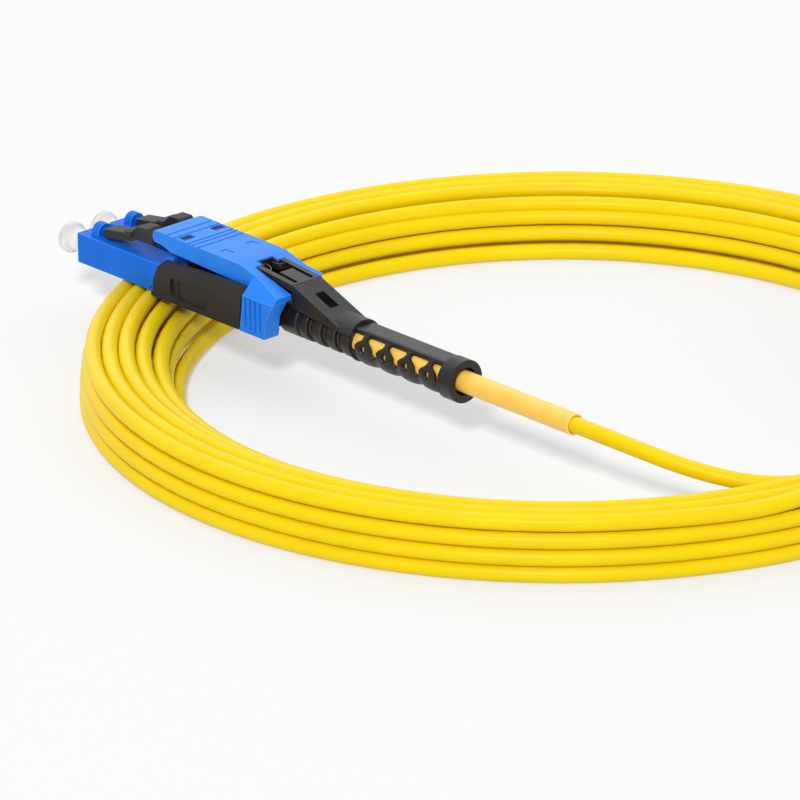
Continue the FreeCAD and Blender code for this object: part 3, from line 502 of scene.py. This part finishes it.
def foot_trimmed(shape, end):
    """Draw the collar's thin floor forward at a slant, so that it doesn't show behind the collar's foot."""
    matrix = plug_matrix(end)
    inverse = matrix.inverted()
    corners = []
    for vert in shape.verts:
        spot = inverse @ vert.co
        if spot.x > FOOT_REAR and abs(spot.y) < FLANK_INNER - FLANK_MARGIN and spot.z < FOOT_TOP:
            corners.append(vert)
    for side in (-1, 1):
        rear = []
        for face in shape.faces:
            behind = (inverse @ face.calc_center_median()).x > FOOT_REAR
            if behind and any(vert in corners for vert in face.verts):
                rear += [face, *face.edges, *face.verts]
        sliced(shape, end, (0, side * FLANK_INNER, 0), (0, 1, 0), list(dict.fromkeys(rear)))
    bmesh.ops.translate(shape, vec=matrix.to_3x3() @ Vector((-FOOT_DRAW, 0, 0)), verts=corners)


RESHAPED = {"boot": tube_removed, "cover": cover_trimmed, "trigger": foot_trimmed}
print("reshaped:", *RESHAPED)

# %% [markdown]
# Now the copies themselves. The broad round of each kind of piece follows its size: wide on the noses, fine
# on the latch arms. The loose triangles of a CAD mesh are merged and joined into faces first, because a
# bevel needs to see which faces meet.

# %% Copy and soften the solids
FINE = 0.06
BROAD_SEGMENTS = 3
FINE_SEGMENTS = 1
FLAT_ANGLE = math.radians(0.6)
# How near loose corners are to be merged, in metres.
MERGE = 2e-6
# The width of each piece's broad round, in millimetres.
ROUNDING = {
    "left_nose": 0.32,
    "right_nose": 0.32,
    "left_latch": 0.12,
    "right_latch": 0.12,
    "left_ferrule": 0.12,
    "right_ferrule": 0.12,
    "cover": 0.14,
    "trigger": 0.25,
    "boot": 0.2,
    "strain_relief": 0.25,
    "sleeve": 0.12,
}


def softened(name, width):
    """A copy of a CAD node with its edges rounded, standing for that node."""
    mesh = bpy.data.meshes.new(name + "_soft")
    shape = bmesh.new()
    shape.from_mesh(nodes[name].data)
    bmesh.ops.remove_doubles(shape, verts=shape.verts, dist=MERGE)
    bmesh.ops.dissolve_limit(shape, angle_limit=FLAT_ANGLE, verts=shape.verts, edges=shape.edges)
    bmesh.ops.recalc_face_normals(shape, faces=shape.faces)
    # This layer marks bevelled faces for the painted edge highlight.
    layer = shape.faces.layers.float.new(PAINTED_EDGE_HIGHLIGHT)
    wide = width * MM
    kind, end = name.rsplit("_", 1)
    if kind in RESHAPED:
        RESHAPED[kind](shape, end)
    rounded(shape, [e for e in sharp_edges(shape) if broad(e, wide)], wide, BROAD_SEGMENTS, layer)
    rounded(shape, sharp_edges(shape), FINE * MM, FINE_SEGMENTS, layer)
    shape.to_mesh(mesh)
    shape.free()
    # The noses take the darker blue: painted shade.
    finish = "nose_blue" if kind.endswith("nose") else None
    return placed(name + "_soft", mesh, body_of_node[name], slot_of_node[name], name, finish=finish)


for end in PLUG_PLACES:
    for name, width in ROUNDING.items():
        piece = softened(f"{name}_{end}", width)
        print(piece.name, len(piece.data.polygons))

# %% [markdown]
# ## Dust caps
# Each plug's two noses wear soft caps that keep dust off the pins. A cap is turned: a flat round-edged head
# to pull it off by, a thinner neck, and a stem with a blind hole. Spinning half of its section round the
# pin's axis gives the whole shape, hole and all.

# %% Spin the caps
# How far each pin lies to the side of the plug's middle, and how high.
LANES = {"left": -3.125, "right": 3.125}
PIN_AXIS = 2.3
# Half of a cap's section in millimetres: distance behind the nose's front face, and radius.
CAP_SECTION = (
    (-4.8, 0.0), (-4.8, 1.55), (-4.74, 1.85), (-4.56, 2.11), (-4.3, 2.29), (-4.0, 2.35), (-3.5, 2.35),
    (-3.36, 2.29), (-3.3, 2.15), (-3.34, 1.75), (-3.2, 1.6), (-0.4, 1.6), (-0.1, 1.4),
    (-0.1, 1.15), (1.4, 1.15), (1.6, 1.0), (1.6, 0.73), (-2.2, 0.73), (-2.2, 0.0),
)
SPIN_STEPS = 64
POLE_MERGE = 0.001


def dust_cap(side, end):
    """A turned cap on one nose of one plug."""
    name = f"{side}_cap_{end}"
    shape = bmesh.new()
    lane = LANES[side]
    ring = [shape.verts.new((x, lane, PIN_AXIS + radius)) for x, radius in CAP_SECTION]
    edges = [shape.edges.new(pair) for pair in zip(ring, ring[1:])]
    bmesh.ops.spin(
        shape, geom=ring + edges, cent=(0, lane, PIN_AXIS), axis=(1, 0, 0), dvec=(0, 0, 0),
        angle=2 * math.pi, steps=SPIN_STEPS, use_merge=True,
    )
    bmesh.ops.remove_doubles(shape, verts=shape.verts, dist=POLE_MERGE)
    bmesh.ops.recalc_face_normals(shape, faces=shape.faces)
    bmesh.ops.transform(shape, matrix=plug_matrix(end), verts=shape.verts)
    mesh = bpy.data.meshes.new(name + "_turned")
    shape.to_mesh(mesh)
    shape.free()
    return placed(name + "_turned", mesh, body_of_node[name], slot_of_node[name], name)


for end in PLUG_PLACES:
    for side in LANES:
        piece = dust_cap(side, end)
        print(piece.name, len(piece.data.polygons))

# %% [markdown]
# ## Springs behind the pins
# A steel spring presses each pin forward, and gives way by a millimetre when two plugs meet. A ring of wire
# that is spun and pushed along at the same time winds the whole spring. A stiff copy would cut into the pin's
# seat when the pin goes back.

# %% Wind the springs
SPRING_SPAN = (5.35, 11.75)
SPRING_RADIUS = 1.1
SPRING_TURNS = 6
STEPS_PER_TURN = 24
WIRE_RADIUS = 0.15
WIRE_SIDES = 10


def tip_spring(side, end):
    """A wound spring behind one pin of one plug."""
    name = f"{side}_spring_{end}"
    lane = LANES[side]
    start, stop = SPRING_SPAN
    steps = SPRING_TURNS * STEPS_PER_TURN
    shape = bmesh.new()
    stood_up = Matrix.Rotation(math.pi / 2, 4, "X")
    spot = Matrix.Translation((start, lane, PIN_AXIS + SPRING_RADIUS)) @ stood_up
    wire = bmesh.ops.create_circle(shape, segments=WIRE_SIDES, radius=WIRE_RADIUS, matrix=spot)
    bmesh.ops.spin(
        shape, geom=wire["verts"] + shape.edges[:], cent=(0, lane, PIN_AXIS), axis=(1, 0, 0),
        dvec=((stop - start) / steps, 0, 0), angle=2 * math.pi * SPRING_TURNS, steps=steps,
    )
    bmesh.ops.holes_fill(shape, edges=[e for e in shape.edges if e.is_boundary])
    bmesh.ops.recalc_face_normals(shape, faces=shape.faces)
    matrix = plug_matrix(end)
    bmesh.ops.transform(shape, matrix=matrix, verts=shape.verts)
    mesh = bpy.data.meshes.new(name + "_wound")
    shape.to_mesh(mesh)
    shape.free()
    piece = placed(name + "_wound", mesh, body_of_node[name], slot_of_node[name], name)
    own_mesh(piece)
    return piece


for end in PLUG_PLACES:
    for side in LANES:
        piece = tip_spring(side, end)
        print(piece.name, len(piece.data.polygons))

# %% [markdown]
# ## The boot's lattice
# The boot bends with the cable because its tube is a lattice: a flat rail on top, funnel-shaped windows on
# both sides, and an eye between every two windows. It could be cut out of a tube with booleans, but those
# leave ragged rims. Here the openings are cut out of a flat sheet, the rim's points are drawn onto the
# openings' exact outlines, and the sheet is then rolled up and given its wall.

# %% Describe the openings
TUBE_RADIUS = 2.9
WINDOW_PITCH = 4.5
WINDOW_COUNT = 5
FIRST_WINDOW = 57.3
WINDOW_MIDDLES = [FIRST_WINDOW + WINDOW_PITCH * index for index in range(WINDOW_COUNT)]
# A window starts at this angle from the top. Its depth is measured from there, round the tube.
WINDOW_TOP = math.radians(40)
WINDOW_DEPTH = 3.1
WINDOW_HALF = 1.75
NECK_HALF = 0.5
NARROWING = (0.5, 2.0)
CORNER = 0.4
# Half of an eye's length and height, and the depth of its middle.
EYE_HALF = (0.38, 0.56)
EYE_DEPTH = 2.28
# Roughly how many millimetres a share of an eye's size stands for.
EYE_SCALE = 0.5


def eased(value, low, high):
    """A smooth step from 0 to 1 between two limits."""
    return smooth_step(min(1.0, max(0.0, (value - low) / (high - low))))


def window_half(depth):
    """Half of a window's width at a depth below its top edge: round corners, a neck and a point."""
    half = WINDOW_HALF - (WINDOW_HALF - NECK_HALF) * eased(depth, *NARROWING)
    if depth < CORNER:
        half -= CORNER - math.sqrt(max(0.0, CORNER**2 - (CORNER - max(0.0, depth)) ** 2))
    point = (depth - NARROWING[1]) / (WINDOW_DEPTH - NARROWING[1])
    if point > 0:
        half *= math.sqrt(max(0.0, 1 - point**2))
    return half


def opening(x, depth):
    """How far a place on the sheet is outside the nearest opening, in millimetres."""
    gaps = []
    for middle in WINDOW_MIDDLES:
        gaps.append(max(abs(x - middle) - window_half(depth), -depth, depth - WINDOW_DEPTH))
        eye_x = middle + WINDOW_PITCH / 2
        eye = math.hypot((x - eye_x) / EYE_HALF[0], (depth - EYE_DEPTH) / EYE_HALF[1])
        gaps.append((eye - 1) * EYE_SCALE)
    return min(gaps)


print("windows on each side:", len(WINDOW_MIDDLES))

# %% [markdown]
# Seen from its end, the tube isn't quite round: the rail on top is flat with two corners, the underside dips
# between lobes, and every strand is rounded off where it meets an opening. All of this is one radius for
# each place on the sheet, so one mesh holds it and no strand has to be modelled by itself.

# %% Describe the lattice's skin
STRAND_ROUND = 0.3
# How far the rail's flat top and its corners are from the axis, and the angles between which it ends.
RAIL_FLAT = 2.72
RAIL_CORNER = 3.08
RAIL_EDGE = (33, 37)
# How deep and how narrow the dips between the lobes are, and the angles between which they deepen.
VALLEY_DEPTH = 0.42
VALLEY_POWER = 1.3
VALLEY_SPAN = (70, 105)


def lattice_radius(x, turned):
    """The lattice's outer radius: a flat rail on top, lobes below, and rounded strands."""
    angle = abs(turned)
    rail = 1 - eased(math.degrees(angle), *RAIL_EDGE)
    radius = TUBE_RADIUS
    if rail:
        radius += (min(RAIL_CORNER, RAIL_FLAT / math.cos(angle)) - TUBE_RADIUS) * rail
    wave = abs(math.sin(math.pi * (x - FIRST_WINDOW) / WINDOW_PITCH))
    radius -= VALLEY_DEPTH * (1 - wave) ** VALLEY_POWER * eased(math.degrees(angle), *VALLEY_SPAN)
    outside = max(0.0, opening(x, TUBE_RADIUS * (angle - WINDOW_TOP)))
    inward = STRAND_ROUND - min(STRAND_ROUND, outside)
    return radius - STRAND_ROUND + math.sqrt(STRAND_ROUND**2 - inward**2)


print("radius on top:", round(lattice_radius(FIRST_WINDOW, 0), 2), "mm")

# %% [markdown]
# A grid is the flat sheet, as long as the tube and a full turn wide. Deleting the faces inside the openings
# leaves stepped rims, so each rim point follows the slope of its distance to the outline until it lies on
# it. Then the sheet is rolled round the boot's axis, its seam is merged, and an extruded copy is its inside.

# %% Cut, roll and thicken the lattice
LATTICE_ENDS = (56.9, 75.75)
LATTICE_GRID = (126, 120)
BOOT_AXIS = 2.0
TUBE_BORE = 2.42
# The sheet's long edges, half a turn in radians from the top, meet there and are no rim.
SEAM_ANGLE = 3
SEAM_MERGE = 0.0005
DRAW_ROUNDS = 4
NUDGE = 0.01
LEAST_SLOPE = 0.2


def drawn_to_rim(spot):
    """Move a point of the flat sheet onto the nearest opening's outline."""
    side = 1 if spot.y > 0 else -1
    x = spot.x
    depth = TUBE_RADIUS * (abs(spot.y) - WINDOW_TOP)
    for _ in range(DRAW_ROUNDS):
        gap = opening(x, depth)
        slope_x = (opening(x + NUDGE, depth) - opening(x - NUDGE, depth)) / (2 * NUDGE)
        slope_depth = (opening(x, depth + NUDGE) - opening(x, depth - NUDGE)) / (2 * NUDGE)
        steep = max(LEAST_SLOPE, slope_x**2 + slope_depth**2)
        x -= gap * slope_x / steep
        depth -= gap * slope_depth / steep
    return Vector((x, side * (WINDOW_TOP + depth / TUBE_RADIUS), 0))


def boot_lattice(end):
    """The boot's tube as a rolled lattice."""
    start, stop = LATTICE_ENDS
    columns, rows = LATTICE_GRID
    shape = bmesh.new()
    stretch = Matrix.Diagonal(((stop - start) / 2, math.pi, 1, 1))
    spread = Matrix.Translation(((start + stop) / 2, 0, 0)) @ stretch
    bmesh.ops.create_grid(shape, x_segments=columns, y_segments=rows, size=1, matrix=spread)
    holes = []
    for face in shape.faces:
        middle = face.calc_center_median()
        if opening(middle.x, TUBE_RADIUS * (abs(middle.y) - WINDOW_TOP)) < 0:
            holes.append(face)
    bmesh.ops.delete(shape, geom=holes, context="FACES")
    for vert in shape.verts:
        if vert.is_boundary and start + CLOSE < vert.co.x < stop - CLOSE and abs(vert.co.y) < SEAM_ANGLE:
            vert.co = drawn_to_rim(vert.co)
    for vert in shape.verts:
        x, turned, _ = vert.co
        radius = lattice_radius(x, turned)
        vert.co = (x, radius * math.sin(turned), BOOT_AXIS + radius * math.cos(turned))
    bmesh.ops.remove_doubles(shape, verts=shape.verts, dist=SEAM_MERGE)
    made = bmesh.ops.extrude_face_region(shape, geom=shape.faces[:])
    for vert in (g for g in made["geom"] if isinstance(g, bmesh.types.BMVert)):
        outward = Vector((0, vert.co.y, vert.co.z - BOOT_AXIS)).normalized()
        vert.co = Vector((vert.co.x, 0, BOOT_AXIS)) + outward * TUBE_BORE
    bmesh.ops.recalc_face_normals(shape, faces=shape.faces)
    bmesh.ops.transform(shape, matrix=plug_matrix(end), verts=shape.verts)
    mesh = bpy.data.meshes.new(f"boot_lattice_{end}")
    shape.to_mesh(mesh)
    shape.free()
    return placed(f"boot_lattice_{end}", mesh, f"pull_{end}", "boot_rubber")


for end in PLUG_PLACES:
    piece = boot_lattice(end)
    print(piece.name, len(piece.data.polygons))

# %% [markdown]
# ## Catches in the trigger
# Two dark catches fill the trigger's windows, a little below its top. Each is a block whose upper face is
# inset and raised into a small step, with its edges rounded, and it is held by the window's walls.

# %% Fill the windows
CATCH_MIDDLE = (22.05, 3.0, 8.72)
CATCH_SIZE = (1.5, 2.24, 0.44)
CATCH_STEP = 0.12
CATCH_ROUND = 0.05
CATCH_SEGMENTS = 2
FACING_UP = 0.9


def window_catches(end):
    """Both catches of one trigger, as one piece."""
    shape = bmesh.new()
    x, y, z = CATCH_MIDDLE
    for side in (-1, 1):
        spot = Matrix.Translation((x, y * side, z)) @ Matrix.Diagonal((*CATCH_SIZE, 1))
        made = bmesh.ops.create_cube(shape, size=1, matrix=spot)
        corners = set(made["verts"])
        top = [f for f in shape.faces if f.normal.z > FACING_UP and set(f.verts) <= corners]
        bmesh.ops.inset_region(shape, faces=top, thickness=CATCH_STEP, depth=0)
        raised = bmesh.ops.extrude_face_region(shape, geom=top)
        lifted = [v for v in raised["geom"] if isinstance(v, bmesh.types.BMVert)]
        bmesh.ops.delete(shape, geom=top, context="FACES")
        bmesh.ops.translate(shape, vec=(0, 0, CATCH_STEP), verts=lifted)
    # This layer marks the catches' bevelled faces for the painted edge highlight.
    layer = shape.faces.layers.float.new(PAINTED_EDGE_HIGHLIGHT)
    rounded(shape, sharp_edges(shape), CATCH_ROUND, CATCH_SEGMENTS, layer)
    bmesh.ops.recalc_face_normals(shape, faces=shape.faces)
    bmesh.ops.transform(shape, matrix=plug_matrix(end), verts=shape.verts)
    mesh = bpy.data.meshes.new(f"window_catches_{end}")
    shape.to_mesh(mesh)
    shape.free()
    return placed(f"window_catches_{end}", mesh, f"pull_{end}", "dark_shell")


for end in PLUG_PLACES:
    piece = window_catches(end)
    print(piece.name, len(piece.data.polygons))

# %% [markdown]
# ## Hooks in the fork
# Between the fork's prongs the boot hooks into the trigger with two thin curved walls, and its rubber lines
# the trigger's stepped notch. A wall starts as a few points in plan, is extruded down, and gets its
# thickness from solidify. A thin web closes the slot in the boot's wedge from below.

# %% Bend the hooks
HOOK_TOP = 8.5
HOOK_DEPTH = 1.0
HOOK_WALL = 0.22
HOOK_ROUND = 0.05
HOOK_SEGMENTS = 1
# Points of each hook in plan, in millimetres, in the plug's own frame.
HOOKS = (
    ((35.6, -0.75), (36.2, -0.45), (36.9, -0.35), (37.7, -0.6), (38.4, -1.05), (39.0, -1.6), (39.5, -2.2)),
    ((36.3, 0.75), (36.9, 0.62), (37.5, 0.7), (37.95, 1.0), (38.15, 1.5), (38.15, 2.3)),
)
# The lining follows the notch's steps, and its top falls with the trigger's roof from the roof's bend on.
LINING = (
    (41.5, -2.86), (36.88, -2.86), (36.88, -1.42), (35.78, -1.42),
    (35.78, 1.42), (36.88, 1.42), (36.88, 2.86), (41.5, 2.86),
)
ROOF_BEND = 35.2
LINING_TOP = 9.05
ROOF_FALL = 0.263
SLOT_FLOOR = (49.1, 0, 5.1)
SLOT_FLOOR_SIZE = (3.5, 1.75, 0.12)


def fork_hooks(end):
    """Both hooks of one boot, the notch's lining and the slot's web, as one piece."""
    shape = bmesh.new()
    paths = [[(x, y, HOOK_TOP) for x, y in path] for path in HOOKS]
    paths.append([(x, y, LINING_TOP - ROOF_FALL * (x - ROOF_BEND)) for x, y in LINING])
    for path in paths:
        rim = [shape.verts.new(spot) for spot in path]
        edges = [shape.edges.new(pair) for pair in zip(rim, rim[1:])]
        made = bmesh.ops.extrude_edge_only(shape, edges=edges)
        lowered = [v for v in made["geom"] if isinstance(v, bmesh.types.BMVert)]
        bmesh.ops.translate(shape, vec=(0, 0, -HOOK_DEPTH), verts=lowered)
    bmesh.ops.recalc_face_normals(shape, faces=shape.faces)
    bmesh.ops.solidify(shape, geom=shape.faces[:], thickness=HOOK_WALL)
    plate = Matrix.Translation(SLOT_FLOOR) @ Matrix.Diagonal((*SLOT_FLOOR_SIZE, 1))
    bmesh.ops.create_cube(shape, size=1, matrix=plate)
    # This layer marks the bevelled faces for the painted edge highlight.
    layer = shape.faces.layers.float.new(PAINTED_EDGE_HIGHLIGHT)
    rounded(shape, sharp_edges(shape), HOOK_ROUND, HOOK_SEGMENTS, layer)
    bmesh.ops.transform(shape, matrix=plug_matrix(end), verts=shape.verts)
    mesh = bpy.data.meshes.new(f"fork_hooks_{end}")
    shape.to_mesh(mesh)
    shape.free()
    return placed(f"fork_hooks_{end}", mesh, f"pull_{end}", "boot_rubber")


for end in PLUG_PLACES:
    piece = fork_hooks(end)
    print(piece.name, len(piece.data.polygons))

# %% [markdown]
# ## Stage
# A pale floor under a white sky shows soft dark seams where the coil meets the floor. The floor also glows
# a little by itself. Sky, lights and glow together bring it to just under white, because a floor brighter
# than white would swallow the shadows.

# %% Lay the floor
FLOOR_HALF = 3
FLOOR_GREY = (160, 160, 160)
FLOOR_LIGHTER = (161, 161, 161)
FLOOR_GLOW = 0.385

floor_mesh = bpy.data.meshes.new("floor")
floor_shape = bmesh.new()
bmesh.ops.create_grid(floor_shape, x_segments=1, y_segments=1, size=FLOOR_HALF)
floor_shape.to_mesh(floor_mesh)
floor_shape.free()
floor = bpy.data.objects.new("floor", floor_mesh)
bpy.context.scene.collection.objects.link(floor)
floor_finish = moulded(
    "floor", dark=FLOOR_GREY, light=FLOOR_LIGHTER, edge=FLOOR_GREY, rough=0.8, patch=2, grain=300, bump=0.02
)
white = (1, 1, 1, 1)
set_values(
    floor_finish, {"Specular IOR Level": 0.0, "Emission Color": white, "Emission Strength": FLOOR_GLOW}
)
floor.data.materials.append(floor_finish)
print("floor:", 2 * FLOOR_HALF, "m wide")

# %% [markdown]
# The sky is brightest above the coil's far side, which gives flat tops their sheen and leaves upright faces
# deeper in colour. A large area light could do this too, but its outline would show in the gloss, and a sky
# that brightens towards one side has none.

# %% Brighten the sky to one side
SKY_NEAR = 0.42
SKY_FAR = 1.12
SKY_DARK_BELOW = -0.2
# The brightest place in the sky, as parts of away and up.
GLOW_AWAY = 0.6
GLOW_UP = 0.8

bpy.context.scene.view_settings.view_transform = "Standard"
world = bpy.data.worlds.new("studio")
bpy.context.scene.world = world
world.use_nodes = True
sky = world.node_tree
direction = sky.nodes.new("ShaderNodeTexCoord")
towards_glow = sky.nodes.new("ShaderNodeVectorMath")
towards_glow.operation = "DOT_PRODUCT"
towards_glow.inputs[1].default_value = away * GLOW_AWAY + skyward * GLOW_UP
brightness = sky.nodes.new("ShaderNodeMapRange")
brightness.inputs["From Min"].default_value = SKY_DARK_BELOW
brightness.inputs["To Min"].default_value = SKY_NEAR
brightness.inputs["To Max"].default_value = SKY_FAR
sky.links.new(direction.outputs["Generated"], towards_glow.inputs[0])
sky.links.new(towards_glow.outputs["Value"], brightness.inputs["Value"])
sky.links.new(brightness.outputs["Result"], sky.nodes["Background"].inputs["Strength"])
sky.nodes["Background"].inputs["Color"].default_value = white
print("sky from", SKY_NEAR, "to", SKY_FAR)

# %% [markdown]
# A low front light adds the shadow behind the plug, and a second one along the same beam lights the floor
# alone, so that this shadow is deep enough. A broad, weak light from behind lifts the far sides.

# %% Add the lights
FRONT_WIDTH = 0.15
BACK_WIDTH = 1.2


def beam(far, aside):
    """A beam that falls by one, and goes away from the camera and to its right by these amounts."""
    return away * far + right * aside - skyward


def distant_light(name, along, power, width):
    """A far light that shines along a beam, as wide as an angle in radians."""
    data = bpy.data.lights.new(name, "SUN")
    data.energy = power
    data.angle = width
    lamp = bpy.data.objects.new(name, data)
    bpy.context.scene.collection.objects.link(lamp)
    lamp.rotation_euler = along.to_track_quat("-Z", "Y").to_euler()
    return lamp


front_beam = beam(far=1.35, aside=0.15)
distant_light("front_light", front_beam, power=1.8, width=FRONT_WIDTH)
floor_light = distant_light("floor_light", front_beam, power=2.0, width=FRONT_WIDTH)
lit = bpy.data.collections.new("lit_by_floor_light")
lit.objects.link(floor)
floor_light.light_linking.receiver_collection = lit
distant_light("back_light", beam(far=-1.2, aside=0.3), power=0.5, width=BACK_WIDTH)
print("lights:", len(bpy.data.lights))
